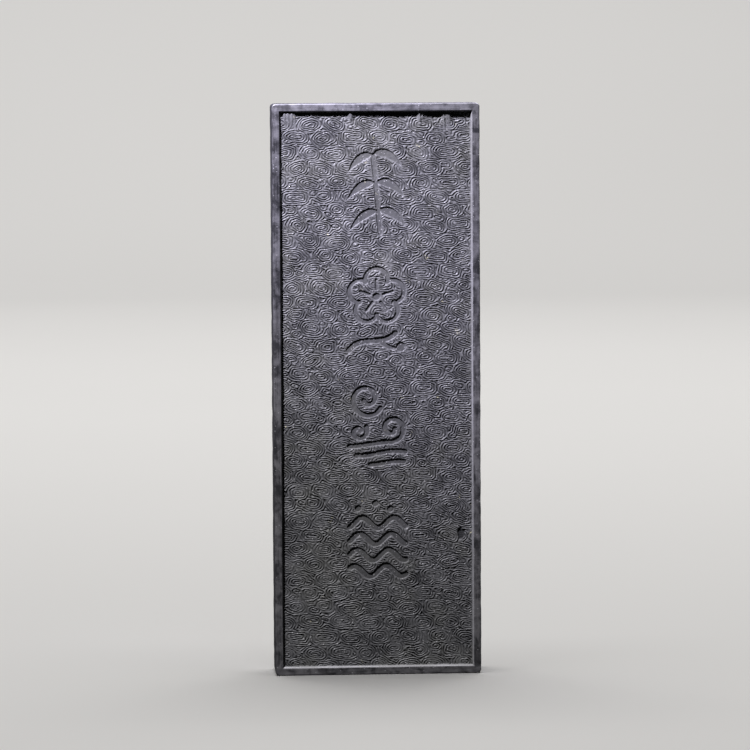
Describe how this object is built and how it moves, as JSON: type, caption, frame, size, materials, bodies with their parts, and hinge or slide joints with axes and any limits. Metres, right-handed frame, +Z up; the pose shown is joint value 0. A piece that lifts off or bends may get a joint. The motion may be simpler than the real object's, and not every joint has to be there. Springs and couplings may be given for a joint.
{
  "type": "ink stick",
  "caption": "Flat rectangular ink stick with a recessed patterned field on each face, engraved ornaments on the front and lacquered edges.",
  "frame": {"origin": "middle of the bottom end, which the stick stands on", "axes": "+Z up along the stick's length, +X across its width, +Y through its thickness; the engraved front faces -Y"},
  "size_m": [0.055, 0.0132, 0.152],
  "materials": {
    "pressed_ink": "matte pressed soot and animal glue, black",
    "edge_lacquer": "thin satin black lacquer, slightly bluish and mottled"
  },
  "bodies": {
    "root": {"ink_cake": "pressed_ink", "left_edge_lacquer": "edge_lacquer", "right_edge_lacquer": "edge_lacquer", "bottom_edge_lacquer": "edge_lacquer", "top_edge_lacquer": "edge_lacquer"}
  },
  "joints": []
}
